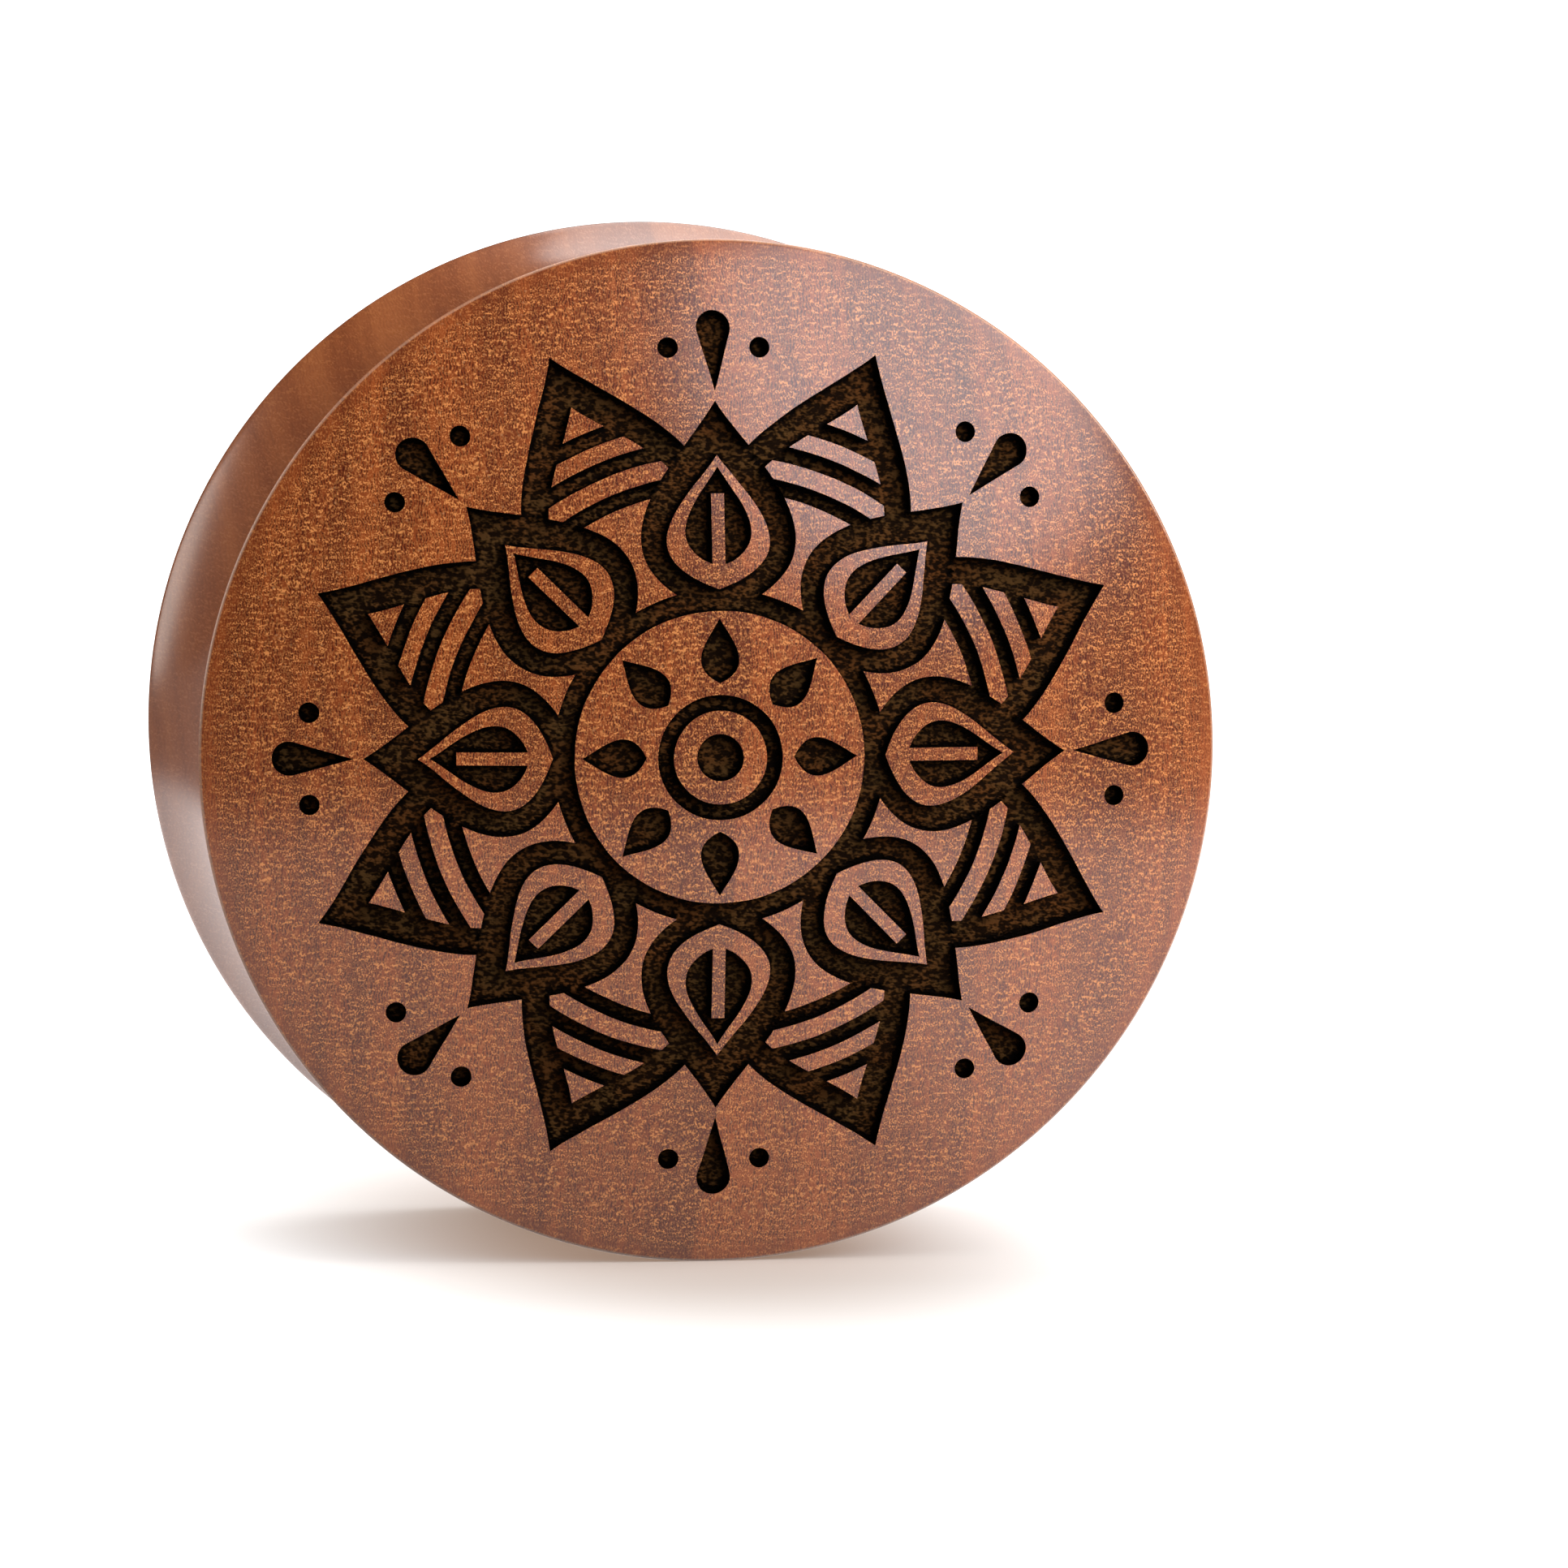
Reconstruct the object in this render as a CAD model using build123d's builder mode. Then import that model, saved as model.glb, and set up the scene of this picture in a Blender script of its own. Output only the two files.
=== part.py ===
"""A double-flared wooden ear plug with an engraved, domed front face.

Millimetres, +Z up. The plug rests on its two flare rims with its axis along Y and the engraved
face towards -Y. z = 0 is the surface that it rests on, and y = 0 is the middle of its length.
"""

import os
from math import asin, cos, sin, sqrt

from build123d import *

os.makedirs("parts", exist_ok=True)

# The turned body: the flares are widest at two circles, RIM_TO_RIM apart
FLARE_RADIUS = 13.5
WAIST_RADIUS = 12.5
RIM_TO_RIM = 13.0
DOME_RISE = 2.1
FRONT_EDGE_ROUND = 0.12
BACK_EDGE_ROUND = 0.6

# The engraving: its depth, its line widths, and the radii that its motifs reach to
ENGRAVING_DEPTH = 0.4
BOLD_LINE = 0.7
THIN_LINE = 0.42
PETALS = 8
HUB_DOT = 0.62
HUB_RING = 1.65
SEED_ROOT, SEED_TIP, SEED_HALF_WIDTH = 1.95, 3.65, 0.52
COLLAR = 4.4
PETAL_TIP, PETAL_HALF_WIDTH = 9.3, 2.1
LEAF_ROOT, LEAF_TIP, LEAF_HALF_WIDTH = 4.95, 7.6, 0.9
LEAF_VEIN = 0.34
BACK_PETAL_ROOT, BACK_PETAL_TIP, BACK_PETAL_HALF_WIDTH = 4.4, 11.3, 2.6
BACK_PETAL_START = 6.1
RIB_RADII = (7.4, 8.3, 9.15)
DROP_POINT, DROP_END, DROP_RADIUS = 9.55, 11.65, 0.45
DOT_CIRCLE, DOT_RADIUS, DOT_TURN = 10.75, 0.27, 6.5

# Worked out from the sizes above
AXIS_HEIGHT = FLARE_RADIUS
LENGTH = DOME_RISE + RIM_TO_RIM + BACK_EDGE_ROUND
APEX_Y = -LENGTH / 2
FRONT_RIM_Y = APEX_Y + DOME_RISE
WAIST_Y = FRONT_RIM_Y + RIM_TO_RIM / 2
BACK_RIM_Y = FRONT_RIM_Y + RIM_TO_RIM
BACK_Y = LENGTH / 2
front_round = Vector(FLARE_RADIUS - FRONT_EDGE_ROUND, FRONT_RIM_Y)
back_round = Vector(FLARE_RADIUS - BACK_EDGE_ROUND, BACK_RIM_Y)
DOME_RADIUS = (front_round.X**2 + DOME_RISE**2 - FRONT_EDGE_ROUND**2) / (
    2 * (DOME_RISE - FRONT_EDGE_ROUND)
)
dome_centre = Vector(0, APEX_Y + DOME_RADIUS)

turning_axis = Axis((0, 0, AXIS_HEIGHT), (0, 1, 0))
# Half profiles are drawn with x as the radius and y along the turning axis
profile_plane = Plane(origin=(0, 0, AXIS_HEIGHT), x_dir=(1, 0, 0), z_dir=(0, 0, 1))
# The motifs are drawn as the front face is seen, just ahead of its apex
drawing_plane = Plane(origin=(0, APEX_Y - 1, AXIS_HEIGHT), x_dir=(1, 0, 0), z_dir=(0, -1, 0))


def saddle_centre(edge_centre, edge_round):
    """Centre of the arc that is deepest at the waist and touches a rim's round."""
    step_in = WAIST_RADIUS - edge_centre.X
    half_length = edge_centre.Y - WAIST_Y
    radius = (half_length**2 + step_in**2 - edge_round**2) / (2 * (edge_round - step_in))
    return Vector(WAIST_RADIUS + radius, WAIST_Y)


def touching_point(arc_centre, arc_radius, edge_centre):
    """Where an arc about arc_centre touches the round about edge_centre."""
    return arc_centre + (edge_centre - arc_centre).normalized() * arc_radius


def leaf(root, tip, half_width):
    """A pointed leaf on the y axis, from its root to its tip."""
    length = tip - root
    with BuildSketch() as shape:
        with BuildLine():
            Bezier(
                (0, root),
                (half_width * 1.95, root + length * 0.27),
                (half_width * 0.45, root + length * 0.72),
                (0, tip),
            )
            mirror(about=Plane.YZ)
        make_face()
    return shape.sketch


def leaf_outline(root, tip, half_width, line):
    """The line round a leaf, heavier at its tip."""
    with BuildSketch() as shape:
        add(leaf(root, tip, half_width))
        add(leaf(root + line, tip - line * 2, half_width - line), mode=Mode.SUBTRACT)
    return shape.sketch


def drop(point, end, radius):
    """A drop on the y axis: a point that widens to a round end."""
    centre = end - radius
    slope = asin(radius / (centre - point))
    side = (radius * cos(slope), centre - radius * sin(slope))
    with BuildSketch() as shape:
        with BuildLine():
            Line((0, point), side)
            RadiusArc(side, (0, end), -radius)
            mirror(about=Plane.YZ)
        make_face()
    return shape.sketch


def ring(radius, line):
    """A round line whose outer edge has this radius."""
    with BuildSketch() as shape:
        Circle(radius)
        Circle(radius - line, mode=Mode.SUBTRACT)
    return shape.sketch


def veined_leaf():
    """A filled leaf with a vein left standing along its middle."""
    with BuildSketch() as shape:
        add(leaf(LEAF_ROOT, LEAF_TIP, LEAF_HALF_WIDTH))
        with Locations((0, (LEAF_ROOT + LEAF_TIP) / 2 - BOLD_LINE)):
            Rectangle(LEAF_VEIN, LEAF_TIP - LEAF_ROOT, mode=Mode.SUBTRACT)
    return shape.sketch


def ribs():
    """Arcs across a back petal, cut off at the petal's line."""
    with BuildSketch() as shape:
        for radius in RIB_RADII:
            add(ring(radius, THIN_LINE))
        add(leaf(BACK_PETAL_ROOT, BACK_PETAL_TIP, BACK_PETAL_HALF_WIDTH), mode=Mode.INTERSECT)
    return shape.sketch


def tip_marks():
    """A drop beyond a front petal's tip, with a dot on each side of it."""
    with BuildSketch() as shape:
        add(drop(DROP_POINT, DROP_END, DROP_RADIUS))
        with PolarLocations(DOT_CIRCLE, 2, start_angle=90 - DOT_TURN, angular_range=4 * DOT_TURN):
            Circle(DOT_RADIUS)
    return shape.sketch


def around(shape, turn=0, mode=Mode.ADD):
    """Add the shape to the open sketch once for each petal, turned by so many degrees."""
    with PolarLocations(0, PETALS, start_angle=turn):
        add(shape, mode=mode)


with BuildSketch() as rosette:
    half_step = 180 / PETALS
    back_petal = leaf_outline(BACK_PETAL_ROOT, BACK_PETAL_TIP, BACK_PETAL_HALF_WIDTH, BOLD_LINE)
    petal_root = COLLAR - BOLD_LINE
    petal_line = leaf_outline(petal_root, PETAL_TIP, PETAL_HALF_WIDTH, BOLD_LINE)
    around(back_petal, half_step)
    around(ribs(), half_step)
    Circle(BACK_PETAL_START, mode=Mode.SUBTRACT)
    around(leaf(petal_root, PETAL_TIP, PETAL_HALF_WIDTH), mode=Mode.SUBTRACT)
    around(petal_line)
    around(veined_leaf())
    around(tip_marks())
    Circle(COLLAR, mode=Mode.SUBTRACT)
    add(ring(COLLAR, BOLD_LINE * 0.8))
    around(leaf(SEED_ROOT, SEED_TIP, SEED_HALF_WIDTH))
    add(ring(HUB_RING, THIN_LINE))
    Circle(HUB_DOT)

# The cutter is the rosette between a floor concentric with the dome and the air before it
with BuildPart() as engraving:
    with BuildSketch(drawing_plane):
        add(rosette.sketch)
    extrude(amount=-(1 + DOME_RISE + ENGRAVING_DEPTH))
    with BuildSketch(profile_plane):
        with BuildLine():
            floor_start = (0, APEX_Y + ENGRAVING_DEPTH)
            floor_radius = DOME_RADIUS - ENGRAVING_DEPTH
            floor_drop = floor_radius - sqrt(floor_radius**2 - FLARE_RADIUS**2)
            floor_end = (FLARE_RADIUS, APEX_Y + ENGRAVING_DEPTH + floor_drop)
            RadiusArc(floor_start, floor_end, -floor_radius)
            Polyline(floor_end, (FLARE_RADIUS, APEX_Y - 1), (0, APEX_Y - 1), floor_start)
        make_face()
    revolve(axis=turning_axis, mode=Mode.INTERSECT)

with BuildPart() as ear_plug:
    with BuildSketch(profile_plane):
        with BuildLine():
            front_saddle = saddle_centre(front_round, FRONT_EDGE_ROUND)
            back_saddle = saddle_centre(back_round, BACK_EDGE_ROUND)
            front_saddle_radius = front_saddle.X - WAIST_RADIUS
            back_saddle_radius = back_saddle.X - WAIST_RADIUS
            apex = (0, APEX_Y)
            dome_end = touching_point(dome_centre, DOME_RADIUS, front_round)
            saddle_start = touching_point(front_saddle, front_saddle_radius, front_round)
            waist = (WAIST_RADIUS, WAIST_Y)
            saddle_end = touching_point(back_saddle, back_saddle_radius, back_round)
            back_edge = (back_round.X, BACK_Y)
            RadiusArc(apex, dome_end, -DOME_RADIUS)
            ThreePointArc(dome_end, (FLARE_RADIUS, FRONT_RIM_Y), saddle_start)
            RadiusArc(saddle_start, waist, front_saddle_radius)
            RadiusArc(waist, saddle_end, back_saddle_radius)
            ThreePointArc(saddle_end, (FLARE_RADIUS, BACK_RIM_Y), back_edge)
            Polyline(back_edge, (0, BACK_Y), apex)
        make_face()
    revolve(axis=turning_axis)
    add(engraving.part, mode=Mode.SUBTRACT)

ear_plug.part.label = "ear_plug"
export_step(ear_plug.part, "parts/ear_plug.step")
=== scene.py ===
"""The looks of a turned wooden ear plug with an engraved, domed face, on a pale floor.

Metres, +Z up. The plug lies on its two flare rims: its axis runs along Y, the engraved face is
towards -Y, and the floor is z = 0. Outlines are first drawn flat, x to the right and y up as the
face is seen, and half profiles are drawn with x as the radius and y along the turning axis.
"""

from math import asin, atan2, cos, hypot, pi, radians, sin, sqrt

import bpy
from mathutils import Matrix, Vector


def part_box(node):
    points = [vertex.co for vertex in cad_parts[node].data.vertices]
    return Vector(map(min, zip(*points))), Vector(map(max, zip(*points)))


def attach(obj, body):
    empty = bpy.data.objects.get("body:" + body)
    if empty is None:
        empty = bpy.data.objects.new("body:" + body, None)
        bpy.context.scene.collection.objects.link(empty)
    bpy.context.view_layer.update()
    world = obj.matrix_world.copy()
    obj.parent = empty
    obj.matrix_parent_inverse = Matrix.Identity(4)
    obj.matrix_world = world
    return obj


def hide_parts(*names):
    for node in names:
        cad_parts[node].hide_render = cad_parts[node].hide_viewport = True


MM = 0.001

# The turned body, the same sizes as its solid
WAIST_RADIUS = 12.5 * MM
RIM_TO_RIM = 13.0 * MM
DOME_RISE = 2.1 * MM
FRONT_EDGE_ROUND = 0.12 * MM
BACK_EDGE_ROUND = 0.6 * MM

# How many sides the turned body and the bed of the engraving have, and how many steps each
# stretch of the body's half profile has
SIDES = 256
BED_SIDES = 2 * SIDES
DOME_STEPS = 24
FRONT_ROUND_STEPS = 10
SADDLE_STEPS = 28
BACK_ROUND_STEPS = 12
BACK_STEPS = 12

# The engraving, the same sizes as in the solid
ENGRAVING_DEPTH = 0.4 * MM
BOLD_LINE = 0.7 * MM
THIN_LINE = 0.42 * MM
PETALS = 8
HUB_DOT = 0.62 * MM
HUB_RING = 1.65 * MM
SEED_ROOT, SEED_TIP, SEED_HALF_WIDTH = 1.95 * MM, 3.65 * MM, 0.52 * MM
COLLAR = 4.4 * MM
COLLAR_LINE = 0.8 * BOLD_LINE
PETAL_TIP, PETAL_HALF_WIDTH = 9.3 * MM, 2.1 * MM
LEAF_ROOT, LEAF_TIP, LEAF_HALF_WIDTH = 4.95 * MM, 7.6 * MM, 0.9 * MM
LEAF_VEIN = 0.34 * MM
BACK_PETAL_ROOT, BACK_PETAL_TIP, BACK_PETAL_HALF_WIDTH = 4.4 * MM, 11.3 * MM, 2.6 * MM
BACK_PETAL_START = 6.1 * MM
RIB_RADII = (7.4 * MM, 8.3 * MM, 9.15 * MM)
DROP_POINT, DROP_END, DROP_RADIUS = 9.55 * MM, 11.65 * MM, 0.45 * MM
DOT_CIRCLE, DOT_RADIUS, DOT_TURN = 10.75 * MM, 0.27 * MM, radians(6.5)
ENGRAVED_REACH = DROP_END + BOLD_LINE

# The handles of the curve that is a leaf's side: shares of its half width and of its length
LOW_HANDLE = (1.95, 0.27)
HIGH_HANDLE = (0.45, 0.72)

# How finely the motifs are drawn
OUTLINE_STEP = 0.14 * MM
FEWEST_SIDES = 24
DROP_STEPS = 10

# The prisms that cut the motifs in: how far they start ahead of the dome's apex and end behind
# it, and how much longer the ones that clear room for others are
CUT_AHEAD = 1 * MM
CUT_BEHIND = 3.5 * MM
CLEARING_MARGIN = 0.4 * MM

# How far a burnt edge wanders from its drawn line and over how long a stretch, how rough the
# burnt floor is, how finely that floor is drawn, and the y that its relief stops short of
EDGE_WANDER = 0.03 * MM
EDGE_WANDER_STRETCH = 1.6 * MM
FLOOR_RELIEF = 0.1 * MM
FLOOR_RELIEF_STRETCH = 0.36 * MM
FLOOR_STEP = 0.15 * MM
RELIEF_END = 0.0

# Points closer than this are one. A loose piece of fewer faces is a crumb that the cutting
# left, a bend sharper than this is a crisp edge, and burnt wood starts this far under the dome.
WELD = 0.0005 * MM
CRUMB_FACES = 9
CRISP_BEND = radians(32)
BURNT_FROM = 0.04 * MM

# What the plug's mesh calls the distance from the nearest edge of the engraving, and how far in
# the walls' soot black, here also painted shade, reaches over the floor
INWARD = "inward_from_edge"
SOOT_SHADE_START, SOOT_SHADE_END = 0.04 * MM, 0.18 * MM

# Colours of the wood, across and along its fibres, and of its burnt parts
END_DARK = (0.14, 0.024, 0.006, 1)
END_LIGHT = (0.37, 0.075, 0.016, 1)
SIDE_DARK = (0.22, 0.052, 0.013, 1)
SIDE_LIGHT = (0.36, 0.105, 0.03, 1)
# A pale colour that paints a highlight on the round of the front edge
EDGE_HIGHLIGHT_COLOUR = (0.70, 0.42, 0.28, 1)
RAY_COLOUR = (0.06, 0.007, 0.002, 1)
SPECK_COLOUR = (0.87, 0.315, 0.088, 1)
VESSEL_COLOUR = (0.85, 0.42, 0.18, 1)
# Black of the charred walls, which also paints shade over the burnt floor next to them
SOOT_AND_SHADE = (0.002, 0.0008, 0.0004, 1)
CHAR_DARK = (0.009, 0.0034, 0.0012, 1)
CHAR_BROWN = (0.115, 0.038, 0.010, 1)
CHAR_OLIVE = (0.090, 0.040, 0.012, 1)

# How strongly each pattern colours the end grain, how much of it the side keeps, and how much
# of it fades at the rim, from one distance in from the rim to another
RAY_STRENGTH, SPECK_STRENGTH, VESSEL_STRENGTH = 0.9, 0.9, 0.3
SIDE_STRENGTH = 0.16
RIM_FADE = 0.5
RIM_FADE_START, RIM_FADE_END = 0.5 * MM, 0.25 * MM

# The painted highlight along the front edge, a pale line: how strong it is, and how far in
# from the rim it lies
EDGE_HIGHLIGHT_STRENGTH = 0.6
EDGE_HIGHLIGHT_START, EDGE_HIGHLIGHT_END = 0.08 * MM, 0.04 * MM

# Where end grain turns to long grain: from so far ahead of the front rim to so far behind it,
# and from so far ahead of the flat back
GRAIN_AHEAD, GRAIN_BEHIND = 0.2 * MM, 0.1 * MM
BACK_GRAIN_AHEAD = 0.1 * MM

# Rows of pale specks and dark rays across the end grain: how far apart they lie, how far they
# sway, and over how long a stretch
ROW_PITCH, ROW_SWAY, ROW_SWAY_STRETCH = 0.19 * MM, 0.5 * MM, 0.55 * MM
RAY_PITCH, RAY_SWAY, RAY_SWAY_STRETCH = 0.078 * MM, 0.25 * MM, 0.4 * MM

# The growth layers: how thick they are, and how far they bend
LAYER_PITCH, LAYER_BEND = 1.9 * MM, 3.5 * MM

# How large the blotches of each pattern are along X, Y and Z, where the fibres run along Y
ROW_BREAK_SIZES = (0.2 * MM, 1.5 * MM, 0.09 * MM)
SPECK_SIZES = (0.04 * MM, 0.5 * MM, 0.048 * MM)
RAY_BREAK_SIZES = (0.14 * MM, 1 * MM, 0.24 * MM)
VESSEL_SIZES = (0.26 * MM, 2.2 * MM, 0.26 * MM)
LAYER_BEND_SIZES = (9 * MM, 30 * MM, 12 * MM)
MOTTLE_SIZES = (1.6 * MM, 5 * MM, 2.6 * MM)
CHAR_CELL_SIZES = (0.16 * MM, 1 * MM, 0.1 * MM)
CHAR_BLOTCH_SIZES = (1.2 * MM, 2 * MM, 0.9 * MM)
FLOOR_BLOTCH_SIZES = (4 * MM, 4 * MM, 4 * MM)

# The camera, from the outlines of the two rims in the photograph
PHOTO_SIDE_PX = 1932
FOCAL_PX = 14581
CAMERA_AZIMUTH_DEG = -8.835
CAMERA_ELEVATION_DEG = 4.686
CAMERA_DISTANCE = 318.56 * MM
AIM_RIGHT_OF_AXIS = 3.012 * MM
AIM_ABOVE_AXIS = -1.425 * MM
SENSOR_MM = 36

# The studio: where each soft light stands about the plug, how wide it looks from there, and
# how bright it makes a white surface that faces it
LIGHTS = (
    # name, azimuth, elevation and width in degrees, brightness, colour
    ("key_light", 65, 40, 54, 1.18, (1, 0.97, 0.94)),
    ("window_light", 25, 22, 32, 0.46, (0.85, 1, 1.12)),
    ("back_light", 172, 62, 36, 0.5, (1, 1, 1)),
    ("back_card", 164, 31, 27, 0.09, (1, 1, 1)),
    ("left_card", -114, 12, 60, 0.66, (1, 0.93, 0.86)),
)

# What little light comes from the rest of the studio, ahead of the plug and behind it, and
# between which two directions, as their Y, the one turns to the other
SURROUNDINGS_AHEAD = 0.03
SURROUNDINGS_BEHIND = 0.02
TURN_START, TURN_END = -0.3, 0.5
SURROUNDINGS_COLOUR = (1.0, 0.86, 0.78, 1)
WHITE = (1, 1, 1, 1)
BLACK = (0, 0, 0, 1)

# The white floor: how much light it returns where it is seen and where it only bounces light,
# its own glow, which is weakest and warmest next to the plug as a painted shadow, the painted
# reflection glow that the plug mirrors from it, from left to right, and how far out it is mirrored
FLOOR_SEEN = 0.42
FLOOR_BOUNCE = 0.05
FLOOR_PAINTED_SHADOW = (0.26, 0.18, 0.13, 1)
PAINTED_SHADOW_START, PAINTED_SHADOW_END = 3 * MM, 15.5 * MM
PAINTED_SHADOW_STRETCH = 2.5
# The painted reflection glow that glossy rays see in the floor, to the left and to the right
PAINTED_REFLECTION_LEFT = (0.8, 0.79, 0.79, 1)
PAINTED_REFLECTION_RIGHT = (2.3, 2.3, 2.4, 1)
MIRRORED_LEFT_END, MIRRORED_RIGHT_START = 1 * MM, 16 * MM
BOARD_FADE, BOARD_END = 70 * MM, 100 * MM
FLOOR_SIDE = 6.0


def add(tree, kind, inputs=None, **settings):
    """A new node. Each input is a plain value, or the output socket that feeds it."""
    made = tree.nodes.new(kind)
    for name, value in settings.items():
        setattr(made, name, value)
    for key, value in (inputs or {}).items():
        if isinstance(value, bpy.types.NodeSocket):
            tree.links.new(value, made.inputs[key])
        else:
            made.inputs[key].default_value = value
    return made


def math(tree, operation, *values):
    """The result of a Math node on these values."""
    return add(tree, "ShaderNodeMath", dict(enumerate(values)), operation=operation).outputs[0]


def vector_math(tree, operation, *values):
    """The vector that a Vector Math node gives."""
    return add(tree, "ShaderNodeVectorMath", dict(enumerate(values)), operation=operation).outputs[0]


def scaled(tree, vector, factor):
    """The vector made so many times as long."""
    inputs = {0: vector, "Scale": factor}
    return add(tree, "ShaderNodeVectorMath", inputs, operation="SCALE").outputs[0]


def length(tree, vector):
    """The length of a vector."""
    return add(tree, "ShaderNodeVectorMath", {0: vector}, operation="LENGTH").outputs["Value"]


def coordinate(tree, vector, axis):
    """The X, Y or Z of a vector."""
    return add(tree, "ShaderNodeSeparateXYZ", {0: vector}).outputs[axis]


def open_tree(name, inputs):
    """A Geometry Nodes tree with these named inputs after its geometry."""
    tree = bpy.data.node_groups.new(name, "GeometryNodeTree")
    tree.interface.new_socket("Geometry", in_out="OUTPUT", socket_type="NodeSocketGeometry")
    tree.interface.new_socket("Geometry", in_out="INPUT", socket_type="NodeSocketGeometry")
    for label, kind in inputs.items():
        tree.interface.new_socket(label, in_out="INPUT", socket_type="NodeSocket" + kind)
    return tree, tree.nodes.new("NodeGroupInput").outputs


def close_tree(tree, geometry, material):
    """End a tree in Realize Instances and Set Material."""
    realized = add(tree, "GeometryNodeRealizeInstances", {"Geometry": geometry}).outputs[0]
    inputs = {"Geometry": realized, "Material": material}
    finished = add(tree, "GeometryNodeSetMaterial", inputs).outputs[0]
    add(tree, "NodeGroupOutput", {0: finished})
    return tree


def grow(name, start, tree, values):
    """The plain mesh that a tree makes from a starting mesh, as an object at the origin."""
    piece = bpy.data.objects.new(name, start)
    bpy.context.scene.collection.objects.link(piece)
    modifier = piece.modifiers.new(tree.name, "NODES")
    modifier.node_group = tree
    for socket in tree.interface.items_tree:
        if socket.in_out == "INPUT" and socket.name in values:
            modifier[socket.identifier] = values[socket.name]
    graph = bpy.context.evaluated_depsgraph_get()
    mesh = bpy.data.meshes.new_from_object(piece.evaluated_get(graph))
    piece.modifiers.remove(modifier)
    for slot in reversed([i for i, material in enumerate(mesh.materials) if material is None]):
        mesh.materials.pop(index=slot)
    piece.data = mesh
    mesh.name = name
    return piece


def arc(centre, start, end, steps):
    """Points of a round stretch about centre, from start up to but not including end."""
    first = atan2(start[1] - centre[1], start[0] - centre[0])
    turn = atan2(end[1] - centre[1], end[0] - centre[0]) - first
    turn = (turn + pi) % (2 * pi) - pi
    radius = hypot(start[0] - centre[0], start[1] - centre[1])
    angles = [first + turn * i / steps for i in range(steps)]
    return [(centre[0] + radius * cos(a), centre[1] + radius * sin(a)) for a in angles]


def toward(centre, point, distance):
    """The point at this distance from centre on the way to a point."""
    length = hypot(point[0] - centre[0], point[1] - centre[1])
    share = distance / length
    return centre[0] + (point[0] - centre[0]) * share, centre[1] + (point[1] - centre[1]) * share


def saddle(plug, edge_centre, edge_round):
    """The centre of the arc that is deepest at the waist, and where it touches a rim's round."""
    step_in = WAIST_RADIUS - edge_centre[0]
    half_length = edge_centre[1] - plug.waist_y
    radius = (half_length**2 + step_in**2 - edge_round**2) / (2 * (edge_round - step_in))
    centre = (WAIST_RADIUS + radius, plug.waist_y)
    return centre, toward(centre, edge_centre, radius)


def body_profile(plug):
    """The half profile of the whole plug, from the apex of its dome to the middle of its back."""
    dome_end = toward(plug.dome_centre, plug.front_round, plug.dome_radius)
    front_saddle, saddle_start = saddle(plug, plug.front_round, FRONT_EDGE_ROUND)
    waist = (WAIST_RADIUS, plug.waist_y)
    back_saddle, saddle_end = saddle(plug, plug.back_round, BACK_EDGE_ROUND)
    back_radius = plug.back_round[0]
    back_edge = (back_radius, plug.back_y)
    back = [(back_radius * (1 - i / BACK_STEPS), plug.back_y) for i in range(BACK_STEPS + 1)]
    return [
        *arc(plug.dome_centre, (0, plug.apex_y), dome_end, DOME_STEPS),
        *arc(plug.front_round, dome_end, saddle_start, FRONT_ROUND_STEPS),
        *arc(front_saddle, saddle_start, waist, SADDLE_STEPS),
        *arc(back_saddle, waist, saddle_end, SADDLE_STEPS),
        *arc(plug.back_round, saddle_end, back_edge, BACK_ROUND_STEPS),
        *back,
    ]


def bed_profile(plug):
    """The half profile of the solid whose front is the floor of the engraving."""
    floor_radius = plug.dome_radius - ENGRAVING_DEPTH
    front = (0, plug.apex_y + ENGRAVING_DEPTH)
    edge = (ENGRAVED_REACH, plug.dome_centre[1] - sqrt(floor_radius**2 - ENGRAVED_REACH**2))
    floor = arc(plug.dome_centre, front, edge, round(ENGRAVED_REACH / FLOOR_STEP))
    return [*floor, edge, (ENGRAVED_REACH, plug.waist_y), (0, plug.waist_y)]


def line_mesh(name, loops, closed=True):
    """A mesh of edges alone that joins each loop's points in turn."""
    points = []
    edges = []
    for loop in loops:
        first = len(points)
        points += [(x, y, 0) for x, y in loop]
        edges += [(first + i, first + i + 1) for i in range(len(loop) - 1)]
        if closed:
            edges.append((len(points) - 1, first))
    mesh = bpy.data.meshes.new(name)
    mesh.from_pydata(points, edges, [])
    return mesh


def circle(radius, centre=(0, 0)):
    """A round outline."""
    steps = max(FEWEST_SIDES, round(2 * pi * radius / OUTLINE_STEP))
    angles = [2 * pi * i / steps for i in range(steps)]
    return [(centre[0] + radius * cos(a), centre[1] + radius * sin(a)) for a in angles]


def mirrored(side):
    """A closed outline from its right side, which runs from the root to the tip."""
    return side + [(-x, y) for x, y in reversed(side) if x > 0]


def leaf_side(root, tip, half_width):
    """The right side of a pointed leaf on the y axis, from its root to its tip."""
    tall = tip - root
    # The side is about 1.2 times as long as the leaf is tall
    steps = round(1.2 * tall / OUTLINE_STEP)
    side = []
    for i in range(steps + 1):
        t = i / steps
        low = 3 * t * (1 - t) ** 2
        high = 3 * t**2 * (1 - t)
        x = half_width * (LOW_HANDLE[0] * low + HIGH_HANDLE[0] * high)
        y = root + tall * (LOW_HANDLE[1] * low + HIGH_HANDLE[1] * high + t**3)
        side.append((max(x, 0), y))
    return side


def leaf(root, tip, half_width):
    """The outline of a pointed leaf."""
    return mirrored(leaf_side(root, tip, half_width))


def leaf_line(root, tip, half_width, line):
    """The two outlines of the line round a leaf, heavier at its tip."""
    return [leaf(root, tip, half_width), leaf(root + line, tip - line * 2, half_width - line)]


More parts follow.
